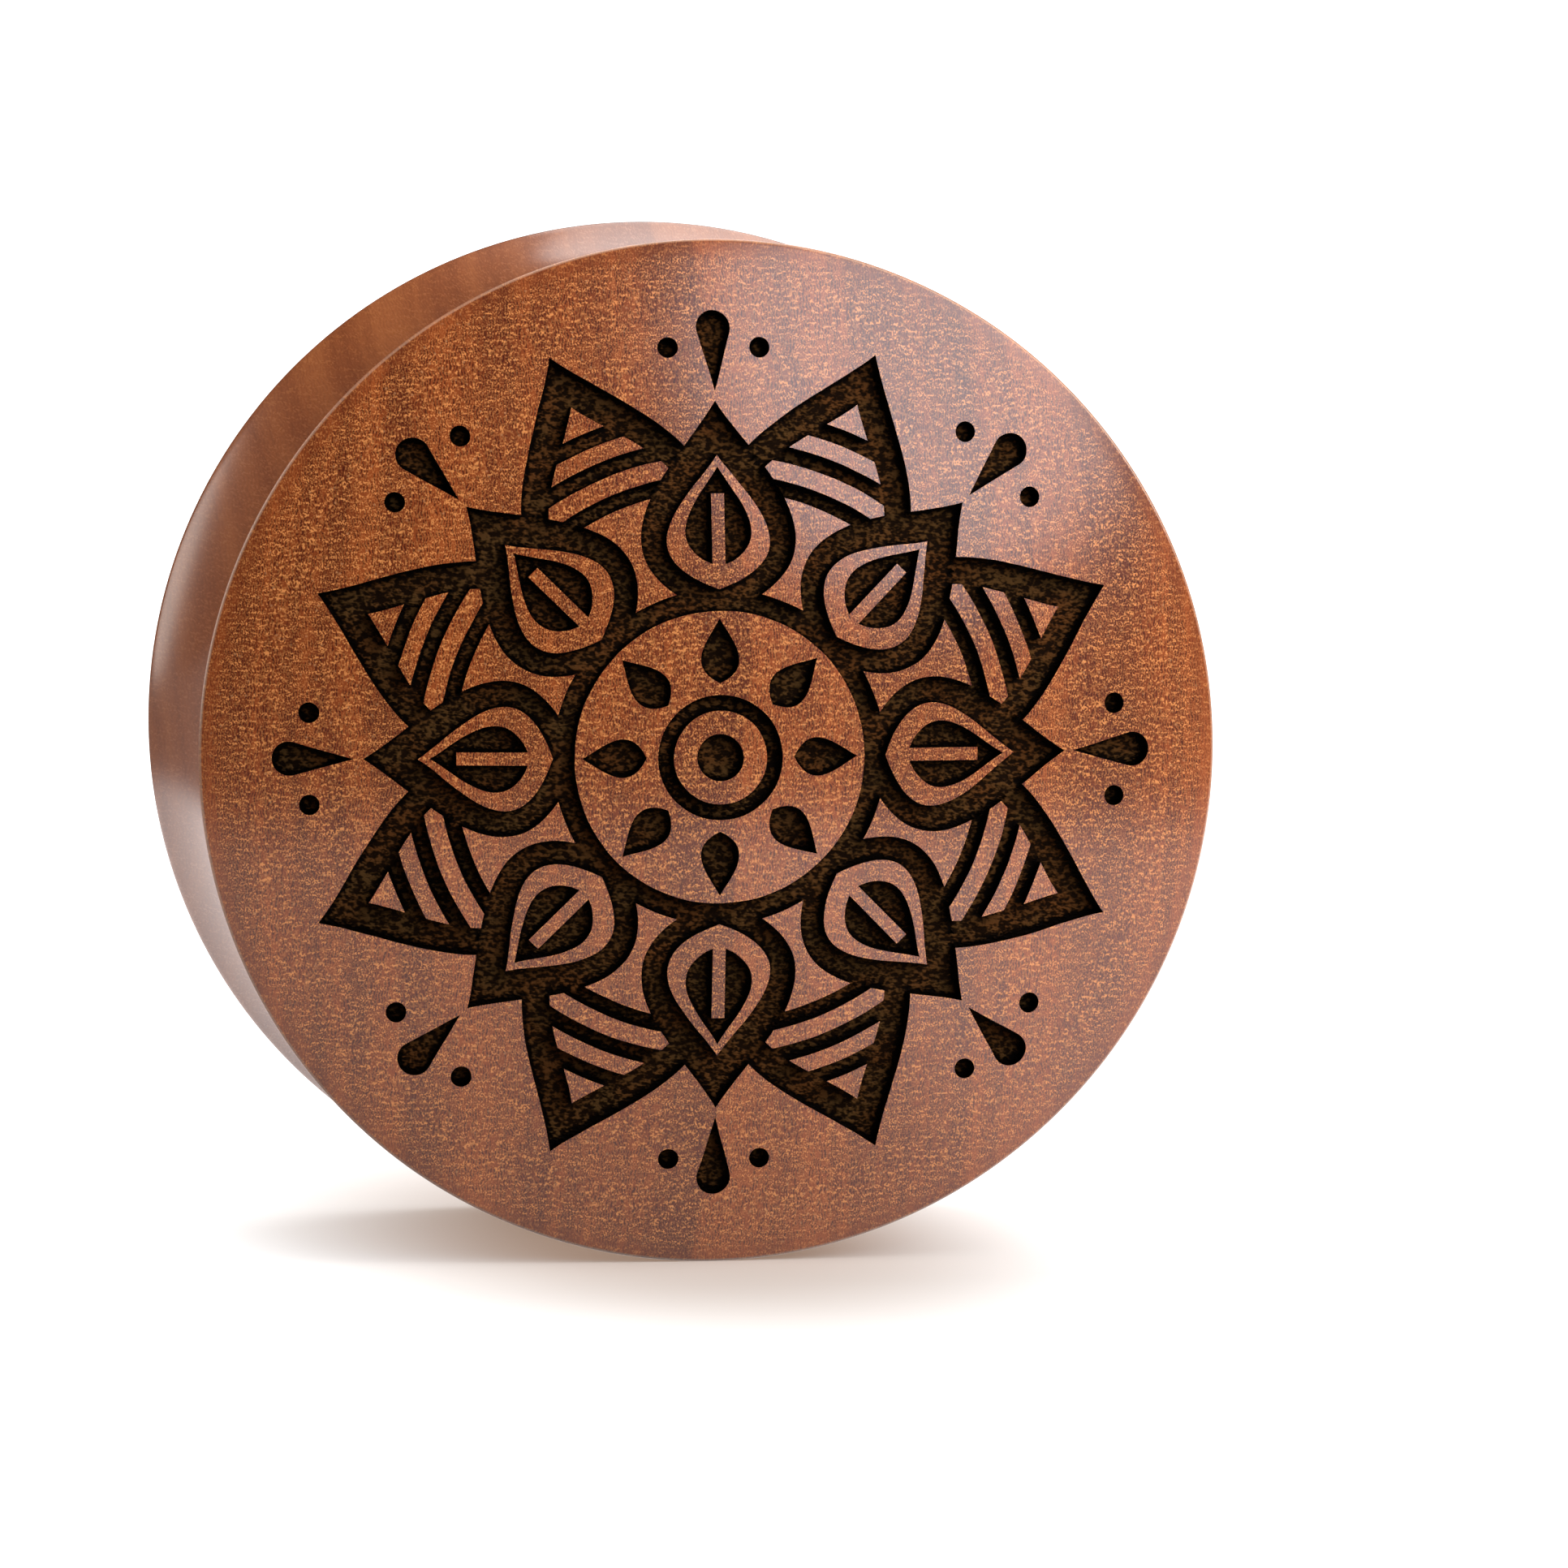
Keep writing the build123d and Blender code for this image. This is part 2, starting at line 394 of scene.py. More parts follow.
def veined_leaf():
    """The outline of a leaf with a vein left standing from its root to near its tip."""
    vein_top = LEAF_TIP - BOLD_LINE
    half_vein = LEAF_VEIN / 2
    side = leaf_side(LEAF_ROOT, LEAF_TIP, LEAF_HALF_WIDTH)
    side = [(x, y) for x, y in side if x > half_vein or y > vein_top]
    side[0] = (half_vein, side[0][1])
    return mirrored(side) + [(-half_vein, vein_top), (half_vein, vein_top)]


def rib(radius):
    """The outline of a thin arc across a back petal, which ends under the petal's line."""
    middle = radius - THIN_LINE / 2
    side = leaf_side(BACK_PETAL_ROOT, BACK_PETAL_TIP, BACK_PETAL_HALF_WIDTH)
    # Where the petal's side, past its root, is as far out as the middle of the rib
    x, y = min(side[len(side) // 4 :], key=lambda p: abs(hypot(*p) - middle))
    reach = atan2(x, y) - BOLD_LINE / 2 / middle
    steps = round(2 * reach * middle / OUTLINE_STEP)
    angles = [reach * (2 * i / steps - 1) for i in range(steps + 1)]
    inner_radius = radius - THIN_LINE
    outer = [(radius * sin(a), radius * cos(a)) for a in angles]
    inner = [(inner_radius * sin(a), inner_radius * cos(a)) for a in reversed(angles)]
    return outer + inner


def drop(point, end, radius):
    """The outline of a drop: a point that widens to a round end."""
    centre = end - radius
    slope = asin(radius / (centre - point))
    x, y = radius * cos(slope), centre - radius * sin(slope)
    straight = [
        (x * i / DROP_STEPS, point + (y - point) * i / DROP_STEPS) for i in range(DROP_STEPS)
    ]
    return mirrored([*straight, *arc((0, centre), (x, y), (0, end), DROP_STEPS), (0, end)])


def tip_marks():
    """A drop beyond a front petal's tip, with a dot on each side of it."""
    dots = [
        circle(DOT_RADIUS, (DOT_CIRCLE * sin(turn), DOT_CIRCLE * cos(turn)))
        for turn in (-DOT_TURN, DOT_TURN)
    ]
    return [drop(DROP_POINT, DROP_END, DROP_RADIUS), *dots]


def lathe_tree():
    """Turns a half profile about the axis into a closed solid, with relief up to Relief End."""
    tree, given = open_tree(
        "lathe",
        {
            "Profile Points": "Int",
            "Sides": "Int",
            "Axis Height": "Float",
            "Relief": "Float",
            "Relief Stretch": "Float",
            "Relief End": "Float",
            "Material": "Material",
        },
    )
    row = math(tree, "ADD", given["Sides"], 1)
    inputs = {"Vertices X": given["Profile Points"], "Vertices Y": row}
    grid = add(tree, "GeometryNodeMeshGrid", inputs).outputs["Mesh"]
    index = add(tree, "GeometryNodeInputIndex").outputs[0]
    profile_index = math(tree, "FLOOR", math(tree, "DIVIDE", math(tree, "ADD", index, 0.5), row))
    side_index = math(tree, "SUBTRACT", index, math(tree, "MULTIPLY", profile_index, row))
    angle = math(tree, "DIVIDE", math(tree, "MULTIPLY", side_index, 2 * pi), given["Sides"])
    place = add(tree, "GeometryNodeInputPosition").outputs[0]
    sampled = add(
        tree,
        "GeometryNodeSampleIndex",
        {"Geometry": given["Geometry"], "Index": profile_index},
        data_type="FLOAT_VECTOR",
    )
    tree.links.new(place, sampled.inputs["Value"])
    radius = coordinate(tree, sampled.outputs[0], "X")
    along = coordinate(tree, sampled.outputs[0], "Y")
    across = math(tree, "MULTIPLY", radius, math(tree, "COSINE", angle))
    up = math(tree, "MULTIPLY", radius, math(tree, "SINE", angle))
    up = math(tree, "ADD", up, given["Axis Height"])
    turned = add(tree, "ShaderNodeCombineXYZ", {"X": across, "Y": along, "Z": up}).outputs[0]
    shaped = add(tree, "GeometryNodeSetPosition", {"Geometry": grid, "Position": turned}).outputs[0]
    welded = add(tree, "GeometryNodeMergeByDistance", {"Geometry": shaped, "Distance": WELD})

    scale = math(tree, "DIVIDE", 1, given["Relief Stretch"])
    inputs = {"Vector": place, "Scale": scale, "Detail": 1.0}
    uneven = math(tree, "SUBTRACT", add(tree, "ShaderNodeTexNoise", inputs).outputs[0], 0.5)
    in_front = math(tree, "LESS_THAN", coordinate(tree, place, "Y"), given["Relief End"])
    lift = math(tree, "MULTIPLY", math(tree, "MULTIPLY", uneven, given["Relief"]), in_front)
    offset = add(tree, "ShaderNodeCombineXYZ", {"Y": lift}).outputs[0]
    rough = add(tree, "GeometryNodeSetPosition", {"Geometry": welded.outputs[0], "Offset": offset})
    return close_tree(tree, rough.outputs[0], given["Material"])


def cutter_tree():
    """Repeats flat outlines about the hub, lets their edges wander, and makes prisms of them."""
    tree, given = open_tree(
        "cutters",
        {
            "Copies": "Int",
            "Turn": "Float",
            "Front": "Float",
            "Back": "Float",
            "Axis Height": "Float",
            "Wander": "Float",
            "Wander Stretch": "Float",
            "Material": "Material",
        },
    )
    curves = add(tree, "GeometryNodeMeshToCurve", {0: given["Geometry"]}).outputs[0]
    filled = add(tree, "GeometryNodeFillCurve", {0: curves}).outputs[0]
    points = add(tree, "GeometryNodePoints", {"Count": given["Copies"]}).outputs[0]
    index = add(tree, "GeometryNodeInputIndex").outputs[0]
    step = math(tree, "DIVIDE", 2 * pi, given["Copies"])
    angle = math(tree, "ADD", math(tree, "MULTIPLY", index, step), given["Turn"])
    turn = add(tree, "ShaderNodeCombineXYZ", {"Z": angle}).outputs[0]
    rotation = add(tree, "FunctionNodeEulerToRotation", {0: turn}).outputs[0]
    inputs = {"Points": points, "Instance": filled, "Rotation": rotation}
    copies = add(tree, "GeometryNodeInstanceOnPoints", inputs).outputs[0]
    copies = add(tree, "GeometryNodeRealizeInstances", {0: copies}).outputs[0]

    place = add(tree, "GeometryNodeInputPosition").outputs[0]
    scale = math(tree, "DIVIDE", 1, given["Wander Stretch"])
    inputs = {"Vector": place, "Scale": scale, "Detail": 2.0, "Roughness": 0.6}
    aside = add(tree, "ShaderNodeTexNoise", inputs).outputs["Color"]
    aside = vector_math(tree, "SUBTRACT", aside, (0.5, 0.5, 0.5))
    aside = vector_math(tree, "MULTIPLY", aside, (2, 2, 0))
    inputs = {"Geometry": copies, "Offset": scaled(tree, aside, given["Wander"])}
    wandering = add(tree, "GeometryNodeSetPosition", inputs).outputs[0]

    depth = math(tree, "SUBTRACT", given["Back"], given["Front"])
    inputs = {"Mesh": wandering, "Offset": (0, 0, 1), "Offset Scale": depth, "Individual": False}
    raised = add(tree, "GeometryNodeExtrudeMesh", inputs).outputs[0]
    bottom = add(tree, "GeometryNodeFlipFaces", {0: wandering}).outputs[0]
    both = add(tree, "GeometryNodeJoinGeometry", {0: raised})
    tree.links.new(bottom, both.inputs[0])
    closed = add(tree, "GeometryNodeMergeByDistance", {0: both.outputs[0], "Distance": WELD})
    shift = add(tree, "ShaderNodeCombineXYZ", {"Y": given["Back"], "Z": given["Axis Height"]})
    inputs = {"Translation": shift.outputs[0], "Rotation": (pi / 2, 0, 0)}
    inputs["Geometry"] = closed.outputs[0]
    standing = add(tree, "GeometryNodeTransform", inputs).outputs[0]
    return close_tree(tree, standing, given["Material"])


def burn(tree, given, wooden):
    """Gives the engraving its burnt wood, and each point how far in from a drawn edge it lies."""
    place = add(tree, "GeometryNodeInputPosition").outputs[0]
    from_centre = vector_math(tree, "SUBTRACT", place, given["Dome Centre"])
    depth = math(tree, "SUBTRACT", given["Dome Radius"], length(tree, from_centre))
    sunk = math(tree, "GREATER_THAN", depth, BURNT_FROM)
    radius = length(tree, vector_math(tree, "MULTIPLY", from_centre, (1, 0, 1)))
    inside = math(tree, "LESS_THAN", radius, ENGRAVED_REACH)
    in_front = math(tree, "LESS_THAN", coordinate(tree, place, "Y"), 0)
    burnt = math(tree, "MULTIPLY", math(tree, "MULTIPLY", sunk, inside), in_front)
    inputs = {0: wooden, "Selection": burnt}
    parted = add(tree, "GeometryNodeSeparateGeometry", inputs, domain="FACE")
    # The distance is measured along the dome, to the faces that the drawing leaves
    raised = scaled(tree, vector_math(tree, "NORMALIZE", from_centre), given["Dome Radius"])
    raised = vector_math(tree, "ADD", raised, given["Dome Centre"])
    inputs = {0: parted.outputs["Inverted"], "Sample Position": raised}
    near = add(tree, "GeometryNodeProximity", inputs, target_element="FACES").outputs["Distance"]
    inputs = {"Geometry": wooden, "Name": INWARD, "Value": near}
    measured = add(tree, "GeometryNodeStoreNamedAttribute", inputs, domain="POINT").outputs[0]
    inputs = {0: measured, "Selection": burnt, "Material": given["Burnt Wood"]}
    return add(tree, "GeometryNodeSetMaterial", inputs).outputs[0]


def engraving_tree():
    """Cuts the motifs into the body down to the bed, and parts burnt from unburnt wood."""
    tree, given = open_tree(
        "engraving",
        {
            "Back Petals": "Object",
            "Back Ribs": "Object",
            "Back Clearing": "Object",
            "Back Disc": "Object",
            "Front Petals": "Object",
            "Collar Disc": "Object",
            "Marks": "Object",
            "Hub": "Object",
            "Bed": "Object",
            "Dome Centre": "Vector",
            "Dome Radius": "Float",
            "Wood": "Material",
            "Burnt Wood": "Material",
        },
    )

    def solid(label):
        return add(tree, "GeometryNodeObjectInfo", {"Object": given[label]}).outputs["Geometry"]

    def boolean(operation, first, *others):
        made = add(tree, "GeometryNodeMeshBoolean", operation=operation, solver="MANIFOLD")
        tree.links.new(first, made.inputs[1 if operation == "UNION" else 0])
        for other in others:
            tree.links.new(other, made.inputs[1])
        return made.outputs[0]

    behind = boolean("UNION", solid("Back Petals"), solid("Back Ribs"))
    behind = boolean("DIFFERENCE", behind, solid("Back Clearing"), solid("Back Disc"))
    ahead = boolean("DIFFERENCE", solid("Front Petals"), solid("Collar Disc"))
    motifs = boolean("UNION", behind, ahead, solid("Marks"), solid("Hub"))
    pockets = boolean("DIFFERENCE", motifs, solid("Bed"))
    cut = boolean("DIFFERENCE", given["Geometry"], pockets)
    island = add(tree, "GeometryNodeInputMeshIsland").outputs["Island Index"]
    inputs = {"Value": 1.0, "Group ID": island}
    counted = add(tree, "GeometryNodeAccumulateField", inputs, data_type="FLOAT", domain="FACE")
    crumb = math(tree, "LESS_THAN", counted.outputs["Total"], CRUMB_FACES)
    inputs = {0: cut, "Selection": crumb}
    whole = add(tree, "GeometryNodeDeleteGeometry", inputs, domain="FACE").outputs[0]

    inputs = {0: whole, "Shade Smooth": True}
    smooth = add(tree, "GeometryNodeSetShadeSmooth", inputs, domain="FACE").outputs[0]
    bend = add(tree, "GeometryNodeInputMeshEdgeAngle").outputs[0]
    crisp = add(tree, "FunctionNodeCompare", {0: bend, 1: CRISP_BEND}, operation="GREATER_THAN")
    inputs = {0: smooth, "Selection": crisp.outputs[0], "Shade Smooth": False}
    creased = add(tree, "GeometryNodeSetShadeSmooth", inputs, domain="EDGE").outputs[0]
    realized = add(tree, "GeometryNodeRealizeInstances", {0: creased}).outputs[0]
    wooden = add(tree, "GeometryNodeSetMaterial", {0: realized, "Material": given["Wood"]}).outputs[0]
    add(tree, "NodeGroupOutput", {0: burn(tree, given, wooden)})
    return tree


class Plug:
    """The places that follow from the plug's sizes and from its CAD box."""

    def __init__(self, low, high):
        self.flare_radius = (high.x - low.x) / 2
        self.axis_height = self.flare_radius
        self.back_y = (DOME_RISE + RIM_TO_RIM + BACK_EDGE_ROUND) / 2
        self.apex_y = -self.back_y
        front_rim_y = self.apex_y + DOME_RISE
        self.waist_y = front_rim_y + RIM_TO_RIM / 2
        self.front_round = (self.flare_radius - FRONT_EDGE_ROUND, front_rim_y)
        self.back_round = (self.flare_radius - BACK_EDGE_ROUND, front_rim_y + RIM_TO_RIM)
        squares = self.front_round[0] ** 2 + DOME_RISE**2 - FRONT_EDGE_ROUND**2
        self.dome_radius = squares / (2 * (DOME_RISE - FRONT_EDGE_ROUND))
        self.dome_centre = (0, self.apex_y + self.dome_radius)


def make_plug(plug, wood, burnt_wood):
    """The whole plug: the body from the lathe, with the rosette burnt into its face."""
    lathe = lathe_tree()
    cutters = cutter_tree()

    def turn(name, profile, sides, relief=0.0):
        values = {
            "Profile Points": len(profile),
            "Sides": sides,
            "Axis Height": plug.axis_height,
            "Relief": relief,
            "Relief Stretch": FLOOR_RELIEF_STRETCH,
            "Relief End": RELIEF_END,
            "Material": wood,
        }
        return grow(name, line_mesh(name, [profile], closed=False), lathe, values)

    def cutter(name, loops, copies, turned=0.0, reach=0.0):
        values = {
            "Copies": copies,
            "Turn": turned,
            "Front": plug.apex_y - CUT_AHEAD - reach,
            "Back": plug.apex_y + CUT_BEHIND + reach,
            "Axis Height": plug.axis_height,
            "Wander": EDGE_WANDER,
            "Wander Stretch": EDGE_WANDER_STRETCH,
            "Material": burnt_wood,
        }
        return grow(name, line_mesh(name, loops), cutters, values)

    petal = (COLLAR - BOLD_LINE, PETAL_TIP, PETAL_HALF_WIDTH)
    back_petal = (BACK_PETAL_ROOT, BACK_PETAL_TIP, BACK_PETAL_HALF_WIDTH)
    collar_middle = COLLAR - COLLAR_LINE / 2
    half_step = pi / PETALS
    margin = CLEARING_MARGIN
    # The names in the engraving's tree, each with the prisms or the solid that it takes
    parts = {
        "Back Petals": cutter("back_petals", leaf_line(*back_petal, BOLD_LINE), PETALS, half_step),
        "Back Ribs": cutter("back_ribs", [rib(r) for r in RIB_RADII], PETALS, half_step),
        "Front Petals": cutter("front_petals", leaf_line(*petal, BOLD_LINE), PETALS),
        "Marks": cutter(
            "marks",
            [veined_leaf(), *tip_marks(), leaf(SEED_ROOT, SEED_TIP, SEED_HALF_WIDTH)],
            PETALS,
        ),
        "Hub": cutter(
            "hub",
            [circle(COLLAR), circle(COLLAR - COLLAR_LINE)]
            + [circle(HUB_RING), circle(HUB_RING - THIN_LINE), circle(HUB_DOT)],
            1,
        ),
        "Back Clearing": cutter("back_clearing", [leaf(*petal)], PETALS, reach=margin),
        "Back Disc": cutter("back_disc", [circle(BACK_PETAL_START)], 1, reach=2 * margin),
        "Collar Disc": cutter("collar_disc", [circle(collar_middle)], 1, reach=margin),
        "Bed": turn("bed", bed_profile(plug), BED_SIDES, FLOOR_RELIEF),
    }
    values = {
        **parts,
        "Dome Centre": (0, plug.dome_centre[1], plug.axis_height),
        "Dome Radius": plug.dome_radius,
        "Wood": wood,
        "Burnt Wood": burnt_wood,
    }
    body = turn("body", body_profile(plug), SIDES)
    finished = grow("turned_plug", body.data, engraving_tree(), values)
    for helper in [*parts.values(), body]:
        bpy.data.objects.remove(helper)
    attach(finished, "root")
    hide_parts("ear_plug")
    return finished


def open_shader_group(name, outputs):
    """A shader node group that takes a place, and gives these named values there."""
    tree = bpy.data.node_groups.new(name, "ShaderNodeTree")
    tree.interface.new_socket("Place", in_out="INPUT", socket_type="NodeSocketVector")
    for label in outputs:
        tree.interface.new_socket(label, in_out="OUTPUT", socket_type="NodeSocketFloat")
    return tree, tree.nodes.new("NodeGroupInput").outputs["Place"]


def spread(tree, value, low, high, new_low=0.0, new_high=1.0):
    """Spreads the values between low and high over a new range, and holds the ends."""
    inputs = {"Value": value, 1: low, 2: high, 3: new_low, 4: new_high}
    return add(tree, "ShaderNodeMapRange", inputs, interpolation_type="SMOOTHSTEP").outputs[0]


def mix_colour(tree, amount, first, second):
    """The colour between two colours."""
    named = {"Factor": amount, "A": first, "B": second}
    made = tree.nodes.new("ShaderNodeMix")
    made.data_type = "RGBA"
    for socket in made.inputs:
        if socket.enabled and socket.name in named:
            value = named[socket.name]
            if isinstance(value, bpy.types.NodeSocket):
                tree.links.new(value, socket)
            else:
                socket.default_value = value
    return next(socket for socket in made.outputs if socket.enabled)


def mix_value(tree, amount, first, second):
    """The value between two values."""
    step = math(tree, "MULTIPLY", math(tree, "SUBTRACT", second, first), amount)
    return math(tree, "ADD", first, step)


def noise(tree, place, sizes, detail=1.0, roughness=0.5):
    """Noise whose blotches have these sizes along X, Y and Z."""
    stretched = vector_math(tree, "DIVIDE", place, sizes)
    inputs = {"Vector": stretched, "Scale": 1.0, "Detail": detail, "Roughness": roughness}
    return add(tree, "ShaderNodeTexNoise", inputs).outputs[0]


def stripes(tree, place, axis, pitch, sway, stretch):
    """Stripes a pitch apart along an axis, from 0 to 1, that sway by so much over a stretch."""
    swaying = math(tree, "SUBTRACT", noise(tree, place, (stretch, 3 * MM, 0.7 * stretch)), 0.5)
    swaying = math(tree, "MULTIPLY", swaying, sway)
    turns = math(tree, "DIVIDE", math(tree, "ADD", coordinate(tree, place, axis), swaying), pitch)
    wave = math(tree, "SINE", math(tree, "MULTIPLY", turns, 2 * pi))
    return math(tree, "ADD", math(tree, "MULTIPLY", wave, 0.5), 0.5)


def fibre_group():
    """Fibres along Y. Across them lie wavy rows of pale specks, upright dark rays and vessels."""
    tree, place = open_shader_group("fibres", ["Specks", "Rays", "Vessels"])
    rows = stripes(tree, place, "Z", ROW_PITCH, ROW_SWAY, ROW_SWAY_STRETCH)
    breaks = noise(tree, place, ROW_BREAK_SIZES, 0.0)
    rows = spread(tree, mix_value(tree, 0.75, rows, breaks), 0.4, 0.68)
    dots = spread(tree, noise(tree, place, SPECK_SIZES, 0.0), 0.42, 0.68)
    specks = math(tree, "MULTIPLY", mix_value(tree, 0.3, rows, 1.0), dots)
    rays = stripes(tree, place, "X", RAY_PITCH, RAY_SWAY, RAY_SWAY_STRETCH)
    faint = spread(tree, noise(tree, place, RAY_BREAK_SIZES, 0.0), 0.3, 0.52)
    rays = math(tree, "MULTIPLY", spread(tree, rays, 0.25, 0.75), faint)
    rays = math(tree, "MULTIPLY", rays, mix_value(tree, rows, 1.0, 0.45))
    stretched = vector_math(tree, "DIVIDE", place, VESSEL_SIZES)
    cells = add(tree, "ShaderNodeTexVoronoi", {"Vector": stretched, "Scale": 1.0})
    vessels = spread(tree, cells.outputs["Distance"], 0.06, 0.18, 1.0, 0.0)
    add(tree, "NodeGroupOutput", {"Specks": specks, "Rays": rays, "Vessels": vessels})
    return tree


def growth_group():
    """Broad soft growth layers, upright as the face is seen, and a slow mottling."""
    tree, place = open_shader_group("growth_layers", ["Layers", "Mottle"])
    bend = noise(tree, place, LAYER_BEND_SIZES)
    bend = math(tree, "MULTIPLY", math(tree, "SUBTRACT", bend, 0.5), LAYER_BEND)
    across = math(tree, "ADD", coordinate(tree, place, "X"), bend)
    across = math(tree, "DIVIDE", across, LAYER_PITCH)
    inputs = {"W": across, "Scale": 1.0, "Detail": 4.0, "Roughness": 0.62}
    layers = add(tree, "ShaderNodeTexNoise", inputs, noise_dimensions="1D").outputs[0]
    mottle = noise(tree, place, MOTTLE_SIZES, 2.0)
    inputs = {"Layers": spread(tree, layers, 0.38, 0.62), "Mottle": spread(tree, mottle, 0.3, 0.7)}
    add(tree, "NodeGroupOutput", inputs)
    return tree


def new_material(name):
    """A material with its Principled shader, and the place that its patterns are read at."""
    material = bpy.data.materials.new(name)
    material.use_nodes = True
    tree = material.node_tree
    place = add(tree, "ShaderNodeTexCoord").outputs["Object"]
    return material, tree, tree.nodes["Principled BSDF"], place


def pattern(tree, kind, place):
    """The values that a shader group gives at a place in a material."""
    return add(tree, "ShaderNodeGroup", {"Place": place}, node_tree=kind).outputs


def bump(tree, shader, height, distance, strength):
    """Fine relief that is too small to model."""
    inputs = {"Height": height, "Distance": distance, "Strength": strength}
    made = add(tree, "ShaderNodeBump", inputs)
    tree.links.new(made.outputs[0], shader.inputs["Normal"])


def oiled_wood(plug, fibres, growth):
    """Reddish fruit wood, turned and oiled: end grain in front and behind, long grain round."""
    material, tree, shader, place = new_material("oiled_wood")
    fine = pattern(tree, fibres, place)
    broad = pattern(tree, growth, place)
    along = coordinate(tree, place, "Y")
    front_rim = plug.front_round[1]
    front = spread(tree, along, front_rim - GRAIN_AHEAD, front_rim + GRAIN_BEHIND, 1.0, 0.0)
    behind = spread(tree, along, plug.back_round[1], plug.back_y - BACK_GRAIN_AHEAD)
    end_grain = math(tree, "MAXIMUM", front, behind)

    from_axis = vector_math(tree, "SUBTRACT", place, (0, 0, plug.axis_height))
    radius = length(tree, vector_math(tree, "MULTIPLY", from_axis, (1, 0, 1)))
    rim_radius = plug.flare_radius
    rim = spread(tree, radius, rim_radius - RIM_FADE_START, rim_radius - RIM_FADE_END)
    rim = math(tree, "MULTIPLY", rim, end_grain)
    # A painted highlight: a pale line on the round of the front edge
    edge = spread(tree, radius, rim_radius - EDGE_HIGHLIGHT_START, rim_radius - EDGE_HIGHLIGHT_END)
    edge = math(tree, "MULTIPLY", edge, front)

    tone = mix_value(tree, 0.25, broad["Layers"], broad["Mottle"])
    base = mix_colour(tree, tone, END_DARK, END_LIGHT)
    side = mix_colour(tree, tone, SIDE_DARK, SIDE_LIGHT)
    base = mix_colour(tree, end_grain, side, base)
    strength = mix_value(tree, end_grain, SIDE_STRENGTH, 1.0)
    kept = math(tree, "SUBTRACT", 1.0, math(tree, "MULTIPLY", rim, RIM_FADE))
    strength = math(tree, "MULTIPLY", strength, kept)
    for label, share, colour in (
        ("Rays", RAY_STRENGTH, RAY_COLOUR),
        ("Specks", SPECK_STRENGTH, SPECK_COLOUR),
        ("Vessels", VESSEL_STRENGTH, VESSEL_COLOUR),
    ):
        amount = math(tree, "MULTIPLY", math(tree, "MULTIPLY", fine[label], strength), share)
        base = mix_colour(tree, amount, base, colour)
    base = mix_colour(tree, math(tree, "MULTIPLY", edge, EDGE_HIGHLIGHT_STRENGTH), base, EDGE_HIGHLIGHT_COLOUR)
    tree.links.new(base, shader.inputs["Base Color"])
    tree.links.new(mix_value(tree, fine["Specks"], 0.55, 0.42), shader.inputs["Roughness"])
    shader.inputs["Specular IOR Level"].default_value = 0.05
    shader.inputs["Coat Weight"].default_value = 0.95
    shader.inputs["Coat Roughness"].default_value = 0.19
    relief = mix_value(tree, 0.4, fine["Specks"], math(tree, "SUBTRACT", 1.0, fine["Rays"]))
    bump(tree, shader, relief, 0.005 * MM, 0.5)
    return material


def burnt_wood():
    """Charred wood in the engraving: black charred walls, painted shade that darkens the floor's
    borders next to them, and a floor of small cells.
    """
    material, tree, shader, place = new_material("burnt_wood")
    inward = add(tree, "ShaderNodeAttribute", attribute_name=INWARD).outputs["Fac"]
    cells = spread(tree, noise(tree, place, CHAR_CELL_SIZES, roughness=0.6), 0.39, 0.67)
    blotches = spread(tree, noise(tree, place, CHAR_BLOTCH_SIZES), 0.3, 0.7)
    char = mix_colour(tree, blotches, CHAR_BROWN, CHAR_OLIVE)
    char = mix_colour(tree, cells, CHAR_DARK, char)
    uneven = math(tree, "MULTIPLY", math(tree, "SUBTRACT", cells, 0.5), 0.06 * MM)
    # Painted shade: the burnt floor turns soot black towards the walls, beside the walls' own char
    floor = spread(tree, math(tree, "ADD", inward, uneven), SOOT_SHADE_START, SOOT_SHADE_END)
    char = mix_colour(tree, floor, SOOT_AND_SHADE, char)
    tree.links.new(char, shader.inputs["Base Color"])
    shader.inputs["Roughness"].default_value = 0.7
    shader.inputs["Specular IOR Level"].default_value = 0.02
    bump(tree, shader, cells, 0.05 * MM, 0.7)
    return material


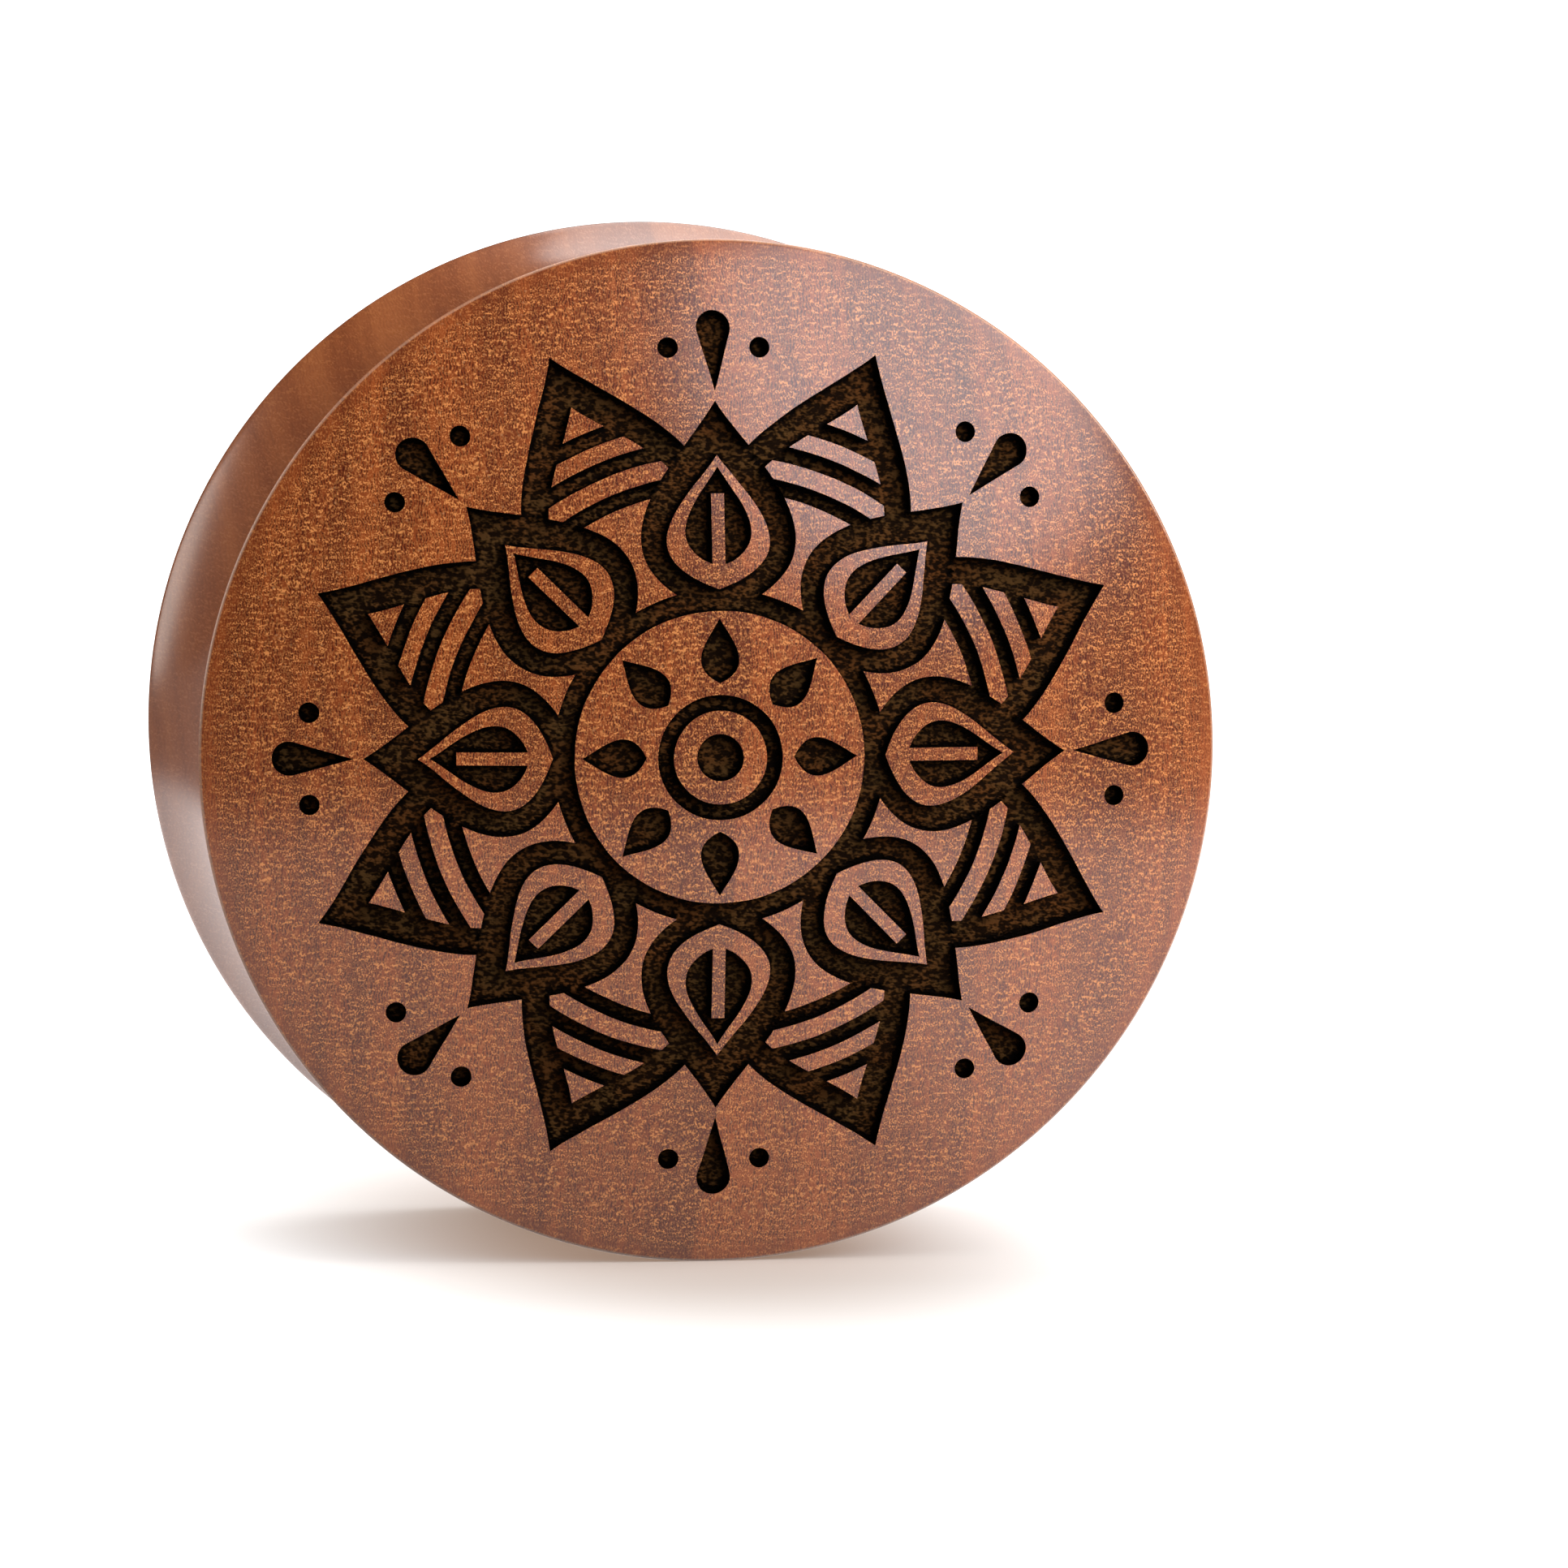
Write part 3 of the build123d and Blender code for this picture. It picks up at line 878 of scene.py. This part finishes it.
def pale_floor():
    """The smooth white studio board that the plug lies on, with a painted shadow and a painted
    reflection glow.
    """
    material, tree, shader, place = new_material("pale_floor")
    path = add(tree, "ShaderNodeLightPath").outputs
    # Painted shadow: the floor's glow is lowered and warmed next to the plug
    squeezed = vector_math(tree, "MULTIPLY", place, (1, 1 / PAINTED_SHADOW_STRETCH, 0))
    outside_painted_shadow = spread(tree, length(tree, squeezed), PAINTED_SHADOW_START, PAINTED_SHADOW_END)
    glow = mix_colour(tree, outside_painted_shadow, FLOOR_PAINTED_SHADOW, WHITE)
    past_board = spread(tree, length(tree, place), BOARD_FADE, BOARD_END)
    mirrored_far = math(tree, "MULTIPLY", path["Is Glossy Ray"], past_board)
    dark = math(tree, "MAXIMUM", path["Is Diffuse Ray"], mirrored_far)
    # Painted reflection: glossy rays see a floor glow that is brighter to the right, and dark past
    # the board
    across = coordinate(tree, place, "X")
    rightward = spread(tree, across, MIRRORED_LEFT_END, MIRRORED_RIGHT_START)
    painted_reflection_glow = mix_colour(tree, rightward, PAINTED_REFLECTION_LEFT, PAINTED_REFLECTION_RIGHT)
    glow = mix_colour(tree, path["Is Glossy Ray"], glow, painted_reflection_glow)
    glow = mix_colour(tree, dark, glow, BLACK)
    tree.links.new(glow, shader.inputs["Emission Color"])
    shader.inputs["Emission Strength"].default_value = 1

    faint = math(tree, "MULTIPLY", noise(tree, place, FLOOR_BLOTCH_SIZES), 0.01)
    pale = math(tree, "SUBTRACT", mix_value(tree, dark, FLOOR_SEEN, FLOOR_BOUNCE), faint)
    white = add(tree, "ShaderNodeCombineXYZ", {0: pale, 1: pale, 2: pale}).outputs[0]
    tree.links.new(white, shader.inputs["Base Color"])
    shader.inputs["Roughness"].default_value = 0.8
    half = FLOOR_SIDE / 2
    mesh = bpy.data.meshes.new("floor")
    corners = [(-half, -half, 0), (half, -half, 0), (half, half, 0), (-half, half, 0)]
    mesh.from_pydata(corners, [], [(0, 1, 2, 3)])
    mesh.materials.append(material)
    floor = bpy.data.objects.new("floor", mesh)
    bpy.context.scene.collection.objects.link(floor)


def direction(azimuth_deg, elevation_deg):
    """The way out from the plug: azimuth 0 is straight ahead of its face, 90 to the right."""
    azimuth = radians(azimuth_deg)
    elevation = radians(elevation_deg)
    return Vector(
        (sin(azimuth) * cos(elevation), -cos(azimuth) * cos(elevation), sin(elevation))
    )


def make_lights(middle):
    """Soft lights that all face the plug, in a white studio that itself gives little light."""
    for name, azimuth, elevation, width, brightness, colour in LIGHTS:
        data = bpy.data.lights.new(name, "SUN")
        data.angle = radians(width)
        data.energy = brightness * pi
        data.color = colour
        light = bpy.data.objects.new(name, data)
        way = direction(azimuth, elevation)
        light.location = middle + way
        light.rotation_euler = (-way).to_track_quat("-Z", "Y").to_euler()
        bpy.context.scene.collection.objects.link(light)
    world = bpy.data.worlds.new("studio")
    bpy.context.scene.world = world
    world.use_nodes = True
    tree = world.node_tree
    seen = add(tree, "ShaderNodeLightPath").outputs["Is Camera Ray"]
    background = tree.nodes["Background"]
    colour = mix_colour(tree, seen, SURROUNDINGS_COLOUR, WHITE)
    tree.links.new(colour, background.inputs["Color"])
    way = add(tree, "ShaderNodeTexCoord").outputs["Generated"]
    behind = spread(tree, coordinate(tree, way, "Y"), TURN_START, TURN_END)
    given = mix_value(tree, behind, SURROUNDINGS_AHEAD, SURROUNDINGS_BEHIND)
    strength = mix_value(tree, seen, given, 1.0)
    tree.links.new(strength, background.inputs["Strength"])


def make_camera(middle):
    """The photograph's view: middle is the point of the axis halfway between the rims."""
    back = direction(CAMERA_AZIMUTH_DEG, CAMERA_ELEVATION_DEG)
    aim = middle + Vector((AIM_RIGHT_OF_AXIS, 0, AIM_ABOVE_AXIS))
    data = bpy.data.cameras.new("photo_camera")
    data.sensor_width = SENSOR_MM
    data.lens = FOCAL_PX / PHOTO_SIDE_PX * SENSOR_MM
    data.clip_start = 0.01
    data.clip_end = 20
    camera = bpy.data.objects.new("photo_camera", data)
    camera.location = aim + back * CAMERA_DISTANCE
    camera.rotation_euler = (-back).to_track_quat("-Z", "Y").to_euler()
    bpy.context.scene.collection.objects.link(camera)
    bpy.context.scene.camera = camera


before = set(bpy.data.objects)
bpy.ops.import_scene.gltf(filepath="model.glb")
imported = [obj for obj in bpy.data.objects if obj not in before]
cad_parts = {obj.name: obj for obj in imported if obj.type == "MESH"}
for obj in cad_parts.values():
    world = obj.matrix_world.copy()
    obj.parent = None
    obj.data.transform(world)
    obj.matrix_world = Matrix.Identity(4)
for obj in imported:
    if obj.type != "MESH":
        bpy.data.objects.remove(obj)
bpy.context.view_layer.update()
plug = Plug(*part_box("ear_plug"))
middle = Vector((0, plug.waist_y, plug.axis_height))
fibres = fibre_group()
wood = oiled_wood(plug, fibres, growth_group())
make_plug(plug, wood, burnt_wood())
pale_floor()
make_lights(middle)
make_camera(middle)
bpy.context.scene.view_settings.view_transform = "Standard"
